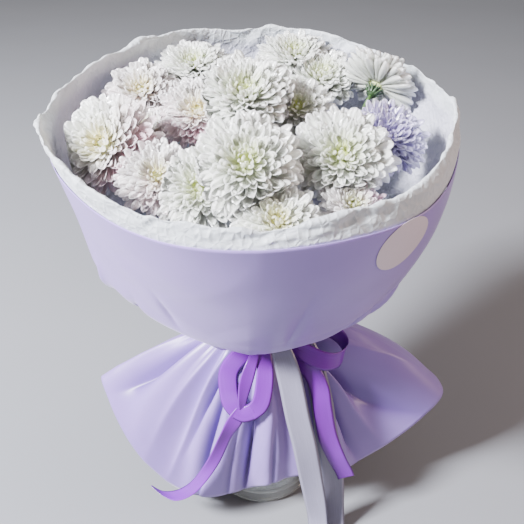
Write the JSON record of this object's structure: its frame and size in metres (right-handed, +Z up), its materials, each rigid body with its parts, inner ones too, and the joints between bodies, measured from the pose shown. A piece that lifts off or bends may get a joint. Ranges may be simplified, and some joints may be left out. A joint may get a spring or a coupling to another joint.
{
  "type": "wrapped chrysanthemum bouquet in a glass jar",
  "caption": "Hand-tied bouquet of white, blush and lilac chrysanthemum sprays in a tissue and film wrap with satin bows, standing in a glass jar of water.",
  "frame": {"origin": "centre of the jar's flat foot, on the surface that it stands on", "axes": "+Z up, -Y towards the bouquet's front with the bow, +X to the right seen from the front"},
  "size_m": [0.3893, 0.344, 0.4927],
  "materials": {
    "glass": "clear gloss",
    "water": "clear water",
    "stem": "matt green stem and leaf",
    "petals_white": "waxy white petals, lime at the heart",
    "petals_blush": "waxy white petals flushed with pink",
    "petals_lilac": "waxy pale lilac petals",
    "tissue": "crumpled white tissue paper",
    "film": "matt lilac wrapping film",
    "sticker": "pale matt label",
    "lilac_satin": "lilac satin ribbon",
    "white_satin": "white satin ribbon"
  },
  "bodies": {
    "root": {"glass_jar": "glass", "water": "water", "spray_west": "stem", "spray_northwest": "stem", "spray_north": "stem", "spray_east": "stem", "spray_southeast": "stem", "spray_south": "stem", "spray_middle": "stem", "bloom_left": "petals_white", "bloom_small_left": "petals_blush", "bloom_low_left": "petals_blush", "bloom_back_left": "petals_blush", "bloom_far_left": "petals_white", "bloom_far_right": "petals_white", "bloom_back_right": "petals_white", "bloom_turned": "petals_white", "bloom_lilac": "petals_lilac", "bloom_right": "petals_white", "bloom_small_right": "petals_blush", "bloom_front": "petals_white", "bloom_low_front": "petals_white", "bloom_low_middle": "petals_white", "bloom_inner_left": "petals_blush", "bloom_middle": "petals_white", "bloom_inner_right": "petals_white", "tissue_lining": "tissue", "film_bowl": "film", "film_skirt": "film", "round_sticker": "sticker", "lilac_ribbon": "lilac_satin", "white_ribbon": "white_satin"}
  },
  "joints": []
}
